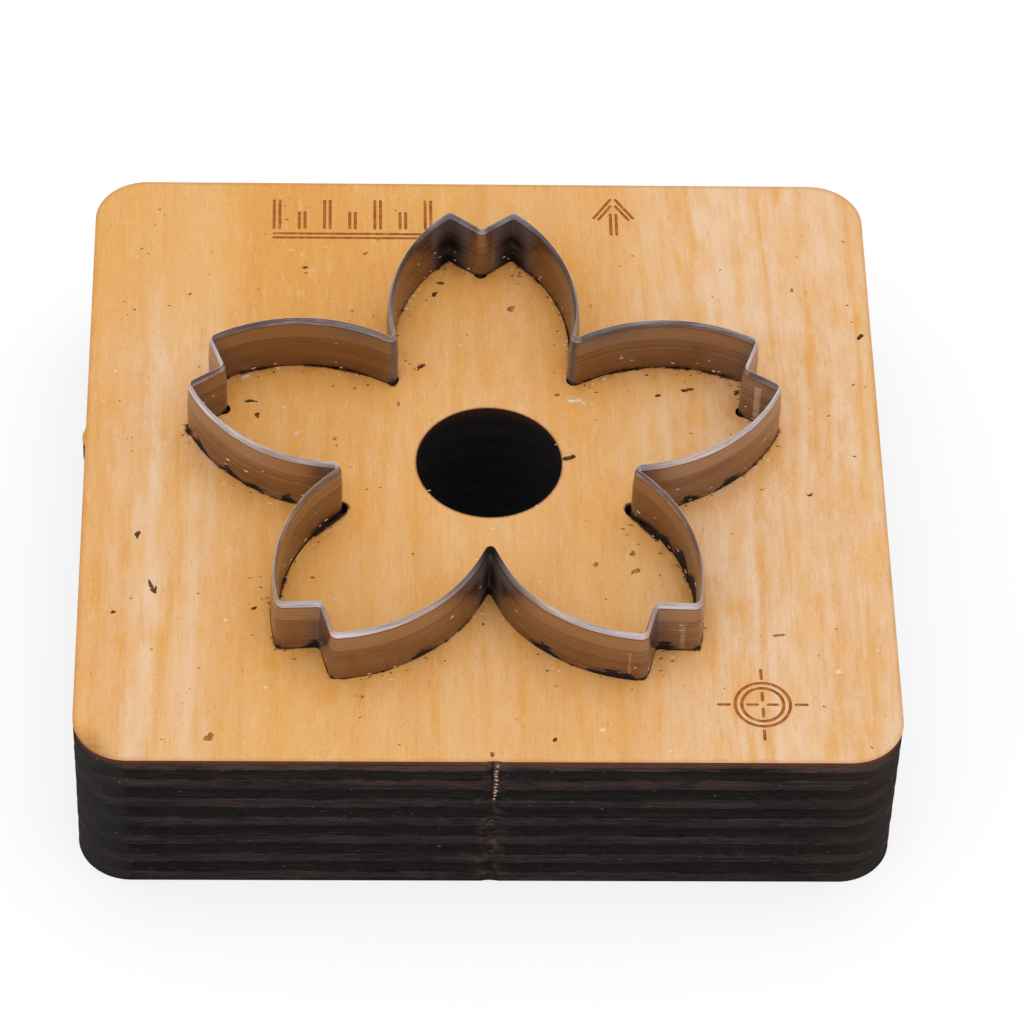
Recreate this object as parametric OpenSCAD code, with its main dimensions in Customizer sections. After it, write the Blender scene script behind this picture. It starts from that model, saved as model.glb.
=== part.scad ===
// Steel rule die: a five-petal blossom cutter.
// A strip of steel rule, bent to the blossom's outline and bevelled along its upper edge,
// stands in a kerf cut through a small plywood board. Millimetres, +Z up.
// The origin is the middle of the board's underside.

/* [Board] */
// Width of the plywood board, left to right
board_w = 74.7; // [68:0.1:100]
// Depth of the plywood board, front to back
board_d = 72; // [68:0.1:100]
// Thickness of the plywood board
board_t = 17.6; // [9:0.1:20]
// Radius of the board's four corners
corner_r = 5; // [1:0.1:10]
// Diameter of the ejector hole through the board
hole_d = 13.6; // [6:0.1:20]
// Distance of the ejector hole's axis to the right of the middle of the board
hole_x = 0.45; // [-2:0.05:2]
// Distance of the ejector hole's axis in front of the middle of the board
hole_drop = 0.35; // [-2:0.05:2]
// Uncut lands that hold the inside of the blossom to the rest of the board, one a petal: width
bridge_w = 6; // [3:0.1:8]

/* [Broken tabs] */
// Distance of the left edge's tab stub behind the middle of the board
stub_y = 2.5; // [-20:0.1:20]
// Rounding of the left edge's tab stub
stub_r = 2; // [1:0.1:4]
// How far the left edge's tab stub stands out
stub_proud = 0.3; // [0.1:0.05:0.6]
// Distance of the front edge's torn tab to the right of the middle of the board
tear_x = 0.4; // [-20:0.1:20]
// Rounding of the dip that the torn tab left in the front edge
tear_r = 3; // [1:0.1:6]
// Depth of the dip that the torn tab left in the front edge
tear_deep = 0.1; // [0.1:0.05:0.6]

/* [Blossom, on the middle of the rule] */
// Petals round the blossom
petals = 5; // [4:1:6]
// Blossom's centre, in front of the middle of the board
blossom_drop = 1.8; // [0:0.1:4]
// From the blossom's centre to the bend between two petals
valley_reach = 14.75; // [12:0.1:18]
// From the blossom's centre to a petal's two tips, along the petal
tip_reach = 27.75; // [26:0.05:31]
// Between the two tips of a petal
tip_gap = 6; // [5:0.1:9]
// From the blossom's centre to the notch between a petal's two tips
notch_reach = 25.8; // [24:0.05:27]
// Radius of a petal's side
side_r = 15.95; // [12:0.05:24]

/* [Rule] */
// Thickness of the steel rule
rule_t = 0.71; // [0.53:0.01:1.07]
// Height of the steel rule, from the board's underside to its cutting edge
rule_h = 23.8; // [22:0.1:32]
// Height of the long bevel on each side of the strip, from its foot to the cutting edge
bevel_h = 2.4; // [1.2:0.05:3]
// Height of the steep facet on each side of the cutting edge
facet_h = 0.6; // [0.3:0.02:1]
// Thickness of the strip at the foot of the steep facets
facet_t = 0.46; // [0.3:0.01:0.5]
// Radius of the bend between two petals
valley_bend_r = 0.7; // [0.65:0.05:1.4]
// Radius of the bend at a petal's tip
tip_bend_r = 0.9; // [0.65:0.05:1.2]
// Radius of the bend at a petal's notch
notch_bend_r = 0.8; // [0.65:0.05:1.2]
// Swelling of each face of the strip where it is bent
bend_swell = 0.005; // [0.005:0.005:0.05]
// Slit between the two ends of the strip
butt_gap = 0.15; // [0.05:0.05:0.4]

/* [Fits] */
// Clearance between the rule and each wall of its kerf
kerf_gap = 0.03; // [0.01:0.01:0.08]
// Clearance over and beside a bridge, in the rule's base
bridge_gap = 0.1; // [0.05:0.05:0.5]
// Radius of the relief burnt at the outside of the bends between petals and in their notches
relief_r = 0.7; // [0.4:0.05:1]
// Radius of the relief burnt at the outside of a petal's tips
tip_relief_r = 0.45; // [0.4:0.05:0.6]
// How far the relief at a petal's tip reaches past the strip
tip_relief_reach = 0.2; // [0.1:0.05:0.4]

/* [Hidden] */
$fn = 96;
// Overshoot of the cutting shapes past the faces that they cut
over = 1;
kerf_w = rule_t + 2 * kerf_gap;
// Length by which the runs between the bends reach into them
lap = 0.05;

// Direction at an angle, and the angle of a direction
function ray(a) = [cos(a), sin(a)];
function heading(v) = atan2(v[1], v[0]);

// Where a circle round p and a circle round q cross, on the right of the way from p to q
function crossing(p, p_r, q, q_r) =
    let (
        way = q - p,
        far = norm(way),
        along = (far * far + p_r * p_r - q_r * q_r) / (2 * far),
        aside = sqrt(p_r * p_r - along * along)
    )
    p + (along * way + aside * [way[1], -way[0]]) / far;

// Half a petal, with the petal along +X: the middles of its bends, and of the side that joins two of them
half_turn = 180 / petals;
valley_c = (valley_reach + valley_bend_r) * ray(half_turn);
tip_c = [tip_reach - tip_bend_r, tip_gap / 2];
notch_c = [notch_reach + notch_bend_r, 0];
side_c = crossing(valley_c, side_r + valley_bend_r, tip_c, side_r - tip_bend_r);

// The straight leg from the tip to the notch lies along both of their bends
leg_side = heading(tip_c - notch_c) + acos((tip_bend_r + notch_bend_r) / norm(tip_c - notch_c));
leg_tip = tip_c - tip_bend_r * ray(leg_side);
leg_notch = notch_c + notch_bend_r * ray(leg_side);

// Angles at which the bends and the side run into each other
side_start = heading(tip_c - side_c);
side_end = heading(valley_c - side_c);
side_middle = (side_start + side_end) / 2;
valley_middle = half_turn + 180;
valley_sweep = 2 * (side_end + 180 - valley_middle);
side_lap = lap / side_r * 180 / PI;

// An arc of the rule's path round a point, from one angle to another
module arc(middle, radius, start, end)
    translate(middle)
        rotate_extrude(angle = end - start, start = start)
            translate([radius, 0])
                children();

// A straight length of the rule's path, lapped at both ends
module straight(start, end)
    translate(start)
        rotate(heading(end - start))
            translate([-lap, 0])
                rotate([90, 0, 90])
                    linear_extrude(norm(end - start) + 2 * lap)
                        children();

// The side, tip and leg on one side of a petal: the first child is swept along the runs, the second round the bend
module along_half_petal() {
    arc(side_c, side_r, side_start - side_lap, side_end + side_lap)
        children(0);
    straight(leg_tip, leg_notch)
        children(0);
    arc(tip_c, tip_bend_r, leg_side - 180, side_start)
        children(1);
}

// One petal, with the bend that leads to the next petal
module along_petal() {
    for (side = [0, 1])
        mirror([0, side])
            along_half_petal() {
                children(0);
                children(1);
            }
    arc(notch_c, notch_bend_r, leg_side, 360 - leg_side)
        children(1);
    arc(valley_c, valley_bend_r, valley_middle - valley_sweep / 2, valley_middle + valley_sweep / 2)
        children(1);
}

// Places its children at each petal, the first of them pointing to the back
module each_petal()
    translate([0, -blossom_drop])
        for (k = [0 : petals - 1])
            rotate(90 + 360 * k / petals)
                children();

// Sweeps one section along the runs of the whole bent strip, and another round its bends
module along_rule()
    each_petal()
        along_petal() {
            children(0);
            children(1);
        }

// A block across each bridge, on one side of each petal
module bridge_blocks(width, thick, bottom, top)
    each_petal()
        arc(
            side_c,
            side_r,
            side_middle - width / side_r * 90 / PI,
            side_middle + width / side_r * 90 / PI
        )
            translate([-thick / 2, bottom])
                square([thick, top - bottom]);

// The rule's section: a flat strip with a long bevel on each side, and steep facets at its cutting edge
module rule_section(swell) {
    half_t = rule_t / 2 + swell;
    facet = facet_t / 2 + swell;
    polygon([
        [-half_t, 0],
        [half_t, 0],
        [half_t, rule_h - bevel_h],
        [facet, rule_h - facet_h],
        [0, rule_h + swell],
        [-facet, rule_h - facet_h],
        [-half_t, rule_h - bevel_h]
    ]);
}

// The slit where the strip's two ends meet, in the bend between the first petal and the one to its right
module butt_slit()
    translate([0, -blossom_drop])
        rotate(90 - half_turn)
            translate([valley_reach - rule_t, -butt_gap / 2, -over])
                cube([2 * rule_t, butt_gap, rule_h + 2 * over]);

module steel_rule()
    color("dimgray")
        difference() {
            along_rule() {
                rule_section(0);
                rule_section(bend_swell);
            }
            bridge_blocks(bridge_w + 2 * bridge_gap, kerf_w + 2 * over, -over, board_t + bridge_gap);
            butt_slit();
        }

// Outline of the board, with the marks of the two tabs that held it in its sheet
module board_outline()
    difference() {
        union() {
            square([board_w - 2 * corner_r, board_d], center = true);
            square([board_w, board_d - 2 * corner_r], center = true);
            for (x = [-1, 1], y = [-1, 1])
                translate([x * (board_w / 2 - corner_r), y * (board_d / 2 - corner_r)])
                    circle(corner_r);
            translate([stub_r - stub_proud - board_w / 2, stub_y])
                circle(stub_r);
        }
        translate([tear_x, tear_deep - tear_r - board_d / 2])
            circle(tear_r);
    }

// The kerf's section, with its walls clear of the rule
module kerf_section(swell)
    translate([-kerf_w / 2 - swell, -over])
        square([kerf_w + 2 * swell, board_t + 2 * over]);

// The kerf that holds the rule, uncut at the bridges
module kerf()
    difference() {
        along_rule() {
            kerf_section(0);
            kerf_section(bend_swell);
        }
        bridge_blocks(bridge_w, kerf_w + 2 * over, -2 * over, board_t + 2 * over);
    }

// A relief hole at the outside of a bend round a point, which reaches a distance past the strip
module relief(middle, radius, angle, size, reach)
    translate(middle + (radius + rule_t / 2 + reach - size) * ray(angle))
        translate([0, 0, -over])
            cylinder(r = size, h = board_t + 2 * over);

module reliefs()
    each_petal() {
        relief(valley_c, valley_bend_r, valley_middle, relief_r, relief_r);
        relief(notch_c, notch_bend_r, 180, relief_r, relief_r);
        for (side = [0, 1])
            mirror([0, side])
                relief(tip_c, tip_bend_r, (leg_side - 180 + side_start) / 2, tip_relief_r, tip_relief_reach);
    }

module die_board()
    color("burlywood")
        difference() {
            linear_extrude(board_t)
                board_outline();
            translate([hole_x, -hole_drop, -over])
                cylinder(d = hole_d, h = board_t + 2 * over);
            kerf();
            reliefs();
        }

die_board();
steel_rule();
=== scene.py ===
"""Looks of a steel rule die: a blossom-shaped cutting rule in a small laser-cut plywood board."""

import math
import random

import bpy
from mathutils import Matrix, Vector, noise
from mathutils.geometry import delaunay_2d_cdt


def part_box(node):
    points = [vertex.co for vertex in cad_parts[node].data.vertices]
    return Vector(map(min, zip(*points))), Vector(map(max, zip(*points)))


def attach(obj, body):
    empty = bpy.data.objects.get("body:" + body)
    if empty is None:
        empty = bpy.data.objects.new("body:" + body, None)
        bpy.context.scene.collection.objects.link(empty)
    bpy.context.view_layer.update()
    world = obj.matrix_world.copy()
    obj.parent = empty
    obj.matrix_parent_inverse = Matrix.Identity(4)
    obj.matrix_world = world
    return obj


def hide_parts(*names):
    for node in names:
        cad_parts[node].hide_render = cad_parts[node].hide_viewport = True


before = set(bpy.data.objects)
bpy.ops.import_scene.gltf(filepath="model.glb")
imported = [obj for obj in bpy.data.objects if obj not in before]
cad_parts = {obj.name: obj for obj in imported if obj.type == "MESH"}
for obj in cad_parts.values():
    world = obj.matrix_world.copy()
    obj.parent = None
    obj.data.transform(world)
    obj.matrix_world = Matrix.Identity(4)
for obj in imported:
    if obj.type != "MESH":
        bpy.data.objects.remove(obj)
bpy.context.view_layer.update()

# Everything below is in millimetres until a mesh, lamp or camera is made, which takes metres.
MM = 0.001

# Sizes that the frame gives
BOARD_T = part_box("die_board")[1].z / MM
HALF_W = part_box("die_board")[1].x / MM
HALF_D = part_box("die_board")[1].y / MM
RULE_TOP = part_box("steel_rule")[1].z / MM

# Board
CORNER_R = 5.0
HOLE_R = 6.8
HOLE_C = Vector((0.45, -0.35))
PLIES = 13
PLY_T = BOARD_T / PLIES
STUB_Y, STUB_R, STUB_PROUD = 2.5, 2.0, 0.3
TEAR_X, TEAR_R, TEAR_DEEP = 0.4, 3.0, 0.1

# Blossom, on the middle of the rule: the line of the part's source, with the bends as tight as they look
PETALS = 5
BLOSSOM_DROP = 1.8
VALLEY_REACH, TIP_REACH, NOTCH_REACH = 14.6, 27.82, 25.75
TIP_GAP = 6.05
SIDE_R = 16.05
VALLEY_BEND_R, TIP_BEND_R, NOTCH_BEND_R = 0.45, 0.55, 0.5

# Rule
RULE_T = 0.71
BEVEL_H = 2.4
FACET_H, FACET_T = 0.6, 0.46
PALE_BAND_H = 2.2
EDGE_FLAT = 0.03
BRIDGE_W, BRIDGE_GAP = 6.0, 0.1
BUTT_GAP = 0.04
RULE_STEP = 0.28
BEND_STEP = 0.12

# Camera: fitted to the photograph, in degrees and millimetres
CAMERA_AZIMUTH, CAMERA_ELEVATION, CAMERA_ROLL = -2.92, 49.06, 2.51
CAMERA_TARGET = Vector((2.919, 1.904, 7.912))
CAMERA_DISTANCE = 501.5
CAMERA_LENS, CAMERA_SENSOR = 185.11, 36.0


# Plane geometry
def ray(degrees):
    angle = math.radians(degrees)
    return Vector((math.cos(angle), math.sin(angle)))


def heading(v):
    return math.degrees(math.atan2(v.y, v.x))


def crossing(p, p_r, q, q_r):
    """Where a circle round p and one round q cross, on the right of the way from p to q."""
    way = q - p
    far = way.length
    along = (far * far + p_r * p_r - q_r * q_r) / (2 * far)
    aside = math.sqrt(p_r * p_r - along * along)
    return p + (along * way + aside * Vector((way.y, -way.x))) / far


# Half a petal, with the petal along +X
HALF_TURN = 180 / PETALS
VALLEY_C = (VALLEY_REACH + VALLEY_BEND_R) * ray(HALF_TURN)
TIP_C = Vector((TIP_REACH - TIP_BEND_R, TIP_GAP / 2))
NOTCH_C = Vector((NOTCH_REACH + NOTCH_BEND_R, 0))
SIDE_C = crossing(VALLEY_C, SIDE_R + VALLEY_BEND_R, TIP_C, SIDE_R - TIP_BEND_R)
LEG_TURN = math.degrees(math.acos((TIP_BEND_R + NOTCH_BEND_R) / (TIP_C - NOTCH_C).length))
LEG_SIDE = heading(TIP_C - NOTCH_C) + LEG_TURN
LEG_TIP = TIP_C - TIP_BEND_R * ray(LEG_SIDE)
LEG_NOTCH = NOTCH_C + NOTCH_BEND_R * ray(LEG_SIDE)
SIDE_START = heading(TIP_C - SIDE_C)
SIDE_END = heading(VALLEY_C - SIDE_C)
BRIDGE_HALF = math.degrees((BRIDGE_W / 2 + BRIDGE_GAP) / SIDE_R)
BRIDGE_FROM = (SIDE_START + SIDE_END) / 2 + BRIDGE_HALF
BRIDGE_TO = (SIDE_START + SIDE_END) / 2 - BRIDGE_HALF


def arc_stations(middle, radius, start, end, facing, step, bend=0, bridge=False):
    """Stations along an arc, without its end: place, outward normal, bend and bridge.

    A bend is 1 where the outside of the strip is its hollow side, -1 where the inside is, and 0 elsewhere.
    """
    count = max(2, math.ceil(abs(math.radians(end - start)) * radius / step))
    for i in range(count):
        out = ray(start + (end - start) * i / count)
        yield middle + radius * out, facing * out, bend, bridge


def line_stations(start, end, out, step):
    count = max(2, math.ceil((end - start).length / step))
    for i in range(count):
        yield start + (end - start) * (i / count), out, 0, False


def half_petal(bridged):
    """Stations from the bend between two petals to the notch, on the left of a petal along +X."""
    stations = []
    stations += arc_stations(
        VALLEY_C, VALLEY_BEND_R, HALF_TURN + 180, SIDE_END + 180, -1, BEND_STEP, bend=1
    )
    stations += arc_stations(SIDE_C, SIDE_R, SIDE_END, BRIDGE_FROM, 1, RULE_STEP)
    stations += arc_stations(SIDE_C, SIDE_R, BRIDGE_FROM, BRIDGE_TO, 1, RULE_STEP, bridge=bridged)
    stations += arc_stations(SIDE_C, SIDE_R, BRIDGE_TO, SIDE_START, 1, RULE_STEP)
    stations += arc_stations(TIP_C, TIP_BEND_R, SIDE_START, LEG_SIDE - 180, 1, BEND_STEP, bend=-1)
    stations += line_stations(LEG_TIP, LEG_NOTCH, -ray(LEG_SIDE), RULE_STEP)
    stations += arc_stations(NOTCH_C, NOTCH_BEND_R, LEG_SIDE, 180, -1, BEND_STEP, bend=1)
    stations.append((NOTCH_C + NOTCH_BEND_R * ray(180), Vector((1, 0)), 1, False))
    return stations


def mirrored(stations):
    flip = Vector((1, -1))
    return [(place * flip, out * flip, bend, bridge) for place, out, bend, bridge in stations]


# Where the strip was bent a little off its outline: place, shift and reach
OFF_LINE = (
    (Vector((0.0, -16.55)), Vector((0.20, 0.42)), 3.5),
    (Vector((-14.0, -6.4)), Vector((0.25, 0.10)), 3.5),
)


def settled(p):
    """A place on the blossom's outline, moved to where the strip and its kerf really run."""
    moved = p.copy()
    for spot, shift, reach in OFF_LINE:
        moved += shift * math.exp(-(((p - spot).length / reach) ** 2))
    return moved


def strip_stations():
    """The whole strip, counter-clockwise from its slit in the bend to the right of the back petal."""
    petal = mirrored(half_petal(False))[:-1] + half_petal(True)[::-1]
    strip = []
    for k in range(PETALS):
        turn = Matrix.Rotation(math.radians(90 + 360 * k / PETALS), 2)
        shift = Vector((0, -BLOSSOM_DROP))
        for place, out, bend, bridge in petal[: None if k == PETALS - 1 else -1]:
            strip.append((settled(turn @ place + shift), turn @ out, bend, bridge))
    return strip


# Node trees
class Tree:
    """Short ways to add nodes to one material, or to the world."""

    def __init__(self, owner, shader):
        owner.use_nodes = True
        self.owner = owner
        self.nodes = owner.node_tree.nodes
        self.links = owner.node_tree.links
        self.shader = self.nodes[shader]

    def put(self, socket, value):
        if isinstance(value, bpy.types.NodeSocket):
            self.links.new(value, socket)
        else:
            socket.default_value = value

    def new(self, kind, *values, **settings):
        node = self.nodes.new("ShaderNode" + kind)
        for name, setting in settings.items():
            setattr(node, name, setting)
        for socket, value in zip(node.inputs, values):
            self.put(socket, value)
        return node

    def math(self, operation, *values, clamp=False):
        return self.new("Math", *values, operation=operation, use_clamp=clamp).outputs[0]

    def add(self, *values):
        total = values[0]
        for value in values[1:]:
            total = self.math("ADD", total, value)
        return total

    def times(self, *values):
        product = values[0]
        for value in values[1:]:
            product = self.math("MULTIPLY", product, value)
        return product

    def minus(self, a, b):
        return self.math("SUBTRACT", a, b)

    def larger(self, a, b):
        return self.math("MAXIMUM", a, b)

    def smaller(self, a, b):
        return self.math("MINIMUM", a, b)

    def around(self, value, spread):
        """A value from 0 to 1, moved to lie evenly round 0 and spread out."""
        return self.times(self.minus(value, 0.5), spread)

    def vector(self, operation, *values):
        return self.new("VectorMath", *values, operation=operation).outputs[0]

    def measure(self, operation, *values):
        return self.new("VectorMath", *values, operation=operation).outputs["Value"]

    def join(self, x, y, z):
        return self.new("CombineXYZ", x, y, z).outputs[0]

    def split(self, v):
        return self.new("SeparateXYZ", v).outputs

    def noise(self, where, stretch, detail=3.0, rough=0.5):
        """Noise from 0 to 1 whose grains are about 1 / stretch millimetres long on each axis."""
        node = self.new("TexNoise")
        self.put(node.inputs["Vector"], self.vector("MULTIPLY", where, stretch))
        self.put(node.inputs["Scale"], 1.0)
        self.put(node.inputs["Detail"], detail)
        self.put(node.inputs["Roughness"], rough)
        return node.outputs["Fac"]

    def step(self, value, low, high, to_low=0.0, to_high=1.0):
        """A smooth step of value between low and high."""
        node = self.new("MapRange", value, low, high, to_low, to_high)
        node.interpolation_type = "SMOOTHSTEP"
        return node.outputs[0]

    def band(self, value, low, high, soft):
        """1 between low and high, 0 elsewhere, with soft ends."""
        rise = self.step(value, low - soft, low + soft)
        return self.times(rise, self.step(value, high + soft, high - soft))

    def mix(self, share, a, b):
        node = self.new("Mix", data_type="RGBA")
        self.put(node.inputs["Factor"], share)
        self.put(node.inputs[6], a)
        self.put(node.inputs[7], b)
        return node.outputs[2]

    def tint(self, colour, tone, value, low, high, share, where=None):
        """Mixes in a tone from 0 to 255, up to a share, by a smooth step of value, and only where asked."""
        amount = self.step(value, low, high, 0.0, share)
        if where is not None:
            amount = self.times(where, amount)
        return self.mix(amount, colour, srgb(*tone))

    def ramp(self, value, *stops):
        node = self.new("ValToRGB", value)
        elements = node.color_ramp.elements
        while len(elements) < len(stops):
            elements.new(0.5)
        for element, (place, colour) in zip(elements, stops):
            element.position = place
            element.color = colour
        return node.outputs[0]

    def tones(self, value, *stops):
        """A ramp of colours, each given by its place and its levels from 0 to 255."""
        return self.ramp(value, *((place, srgb(*levels)) for place, *levels in stops))

    def bump(self, height, depth, strength=1.0):
        """A normal for a height from 0 to 1 that stands for a depth in millimetres."""
        node = self.new("Bump")
        self.put(node.inputs["Strength"], strength)
        self.put(node.inputs["Distance"], depth * MM)
        self.put(node.inputs["Height"], height)
        return node.outputs["Normal"]

    def place(self):
        """Place on the object, in millimetres."""
        return self.vector("MULTIPLY", self.new("TexCoord").outputs["Object"], (1 / MM,) * 3)

    def seen(self):
        """1 for rays that the camera, a mirror or glass sees by, and 0 for rays that light things."""
        path = self.new("LightPath").outputs
        mirrored_rays = self.larger(path["Is Glossy Ray"], path["Is Transmission Ray"])
        return self.larger(path["Is Camera Ray"], mirrored_rays)

    def set(self, **values):
        for name, value in values.items():
            self.put(self.shader.inputs[name.replace("_", " ")], value)
        return self.owner


def new_material(name):
    return Tree(bpy.data.materials.new(name), "Principled BSDF")


def srgb(red, green, blue):
    """A colour as it looks on screen, from 0 to 255, in the renderer's linear units."""
    levels = [c / 255 for c in (red, green, blue)]
    linear = [c / 12.92 if c <= 0.04045 else ((c + 0.055) / 1.055) ** 2.4 for c in levels]
    return (*linear, 1.0)


def grey(level):
    return (level, level, level, 1.0)


def from_rule(tree, x, y):
    """Distance on the board's face from the middle of the rule, and 1 outside the blossom or 0 inside."""
    here = tree.join(x, y, 0.0)
    for spot, shift, reach in OFF_LINE:
        away = tree.math("DIVIDE", tree.measure("DISTANCE", here, (*spot, 0.0)), reach)
        share = tree.math("EXPONENT", tree.times(away, away, -1.0))
        x = tree.minus(x, tree.times(share, shift.x))
        y = tree.minus(y, tree.times(share, shift.y))
    y = tree.add(y, BLOSSOM_DROP)
    turns = tree.math("DIVIDE", tree.math("ARCTAN2", x, y), 2 * math.pi / PETALS)
    folded = tree.math("ABSOLUTE", tree.minus(turns, tree.math("ROUND", turns)))
    angle = tree.times(folded, 2 * math.pi / PETALS)
    reach = tree.measure("LENGTH", tree.join(x, y, 0.0))
    u = tree.times(reach, tree.math("COSINE", angle))
    v = tree.times(reach, tree.math("SINE", angle))
    spot = tree.join(u, v, 0.0)
    side = tree.minus(tree.measure("DISTANCE", spot, (*SIDE_C, 0.0)), SIDE_R)
    # Past the end of a petal's side, the distance is to that end
    end = SIDE_C + SIDE_R * ray(SIDE_END)
    onward = ray(SIDE_END + 90)
    past = tree.minus(tree.measure("DOT_PRODUCT", spot, (*onward, 0.0)), end.dot(onward))
    past = tree.larger(past, 0.0)
    side_far = tree.measure("LENGTH", tree.join(side, past, 0.0))
    out = -ray(LEG_SIDE)
    leg = tree.minus(tree.measure("DOT_PRODUCT", spot, (*out, 0.0)), LEG_TIP.dot(out))
    leg_far = tree.math("ABSOLUTE", leg)
    on_leg = tree.math("GREATER_THAN", leg, side)
    far = tree.add(side_far, tree.times(on_leg, tree.minus(leg_far, side_far)))
    return far, tree.math("GREATER_THAN", tree.larger(side, leg), 0.0)


def from_edge(tree, x, y):
    """Distance inside the board's outline."""
    over_x = tree.minus(tree.math("ABSOLUTE", x), HALF_W - CORNER_R)
    over_y = tree.minus(tree.math("ABSOLUTE", y), HALF_D - CORNER_R)
    corner = tree.join(tree.larger(over_x, 0.0), tree.larger(over_y, 0.0), 0.0)
    inner = tree.smaller(tree.larger(over_x, over_y), 0.0)
    return tree.minus(CORNER_R, tree.add(tree.measure("LENGTH", corner), inner))


def from_streak(tree, here, start, end, start_r, end_r):
    """Distance outside a straight streak with round ends, whose radius changes along it."""
    way = end - start
    ahead = tree.measure("DOT_PRODUCT", tree.vector("SUBTRACT", here, (*start, 0.0)), (*way, 0.0))
    share = tree.math("DIVIDE", ahead, way.length_squared, clamp=True)
    nearest = tree.vector("MULTIPLY_ADD", tree.join(share, share, 0.0), (*way, 0.0), (*start, 0.0))
    radius = tree.add(tree.times(share, end_r - start_r), start_r)
    return tree.minus(tree.measure("DISTANCE", here, nearest), radius)


# How pale the veneer is across the board, from its left edge to its right edge
PALE_ZONES = (
    (0.00, 0.16), (0.05, 0.34), (0.085, 0.70), (0.11, 0.30), (0.14, 0.48), (0.17, 0.18), (0.25, 0.06),
    (0.40, 0.18), (0.52, 0.24), (0.65, 0.14), (0.74, 0.44), (0.83, 0.74), (0.90, 0.54), (0.95, 0.60),
    (1.00, 0.48),
)
# Burns where the laser turned: start, end, and the radius at each
BURNS = (
    (Vector((-13.35, -6.05)), Vector((-13.45, -6.40)), 0.66, 0.60),
    (Vector((-13.45, -6.65)), Vector((-15.75, -9.45)), 0.52, 0.12),
    (Vector((13.65, -6.00)), Vector((13.75, -6.30)), 0.66, 0.60),
    (Vector((13.90, -6.65)), Vector((15.90, -9.75)), 0.56, 0.14),
    (Vector((-27.60, 3.40)), Vector((-27.50, 3.20)), 0.35, 0.30),
    (Vector((-8.50, 9.55)), Vector((-8.60, 9.65)), 0.30, 0.30),
)


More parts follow.
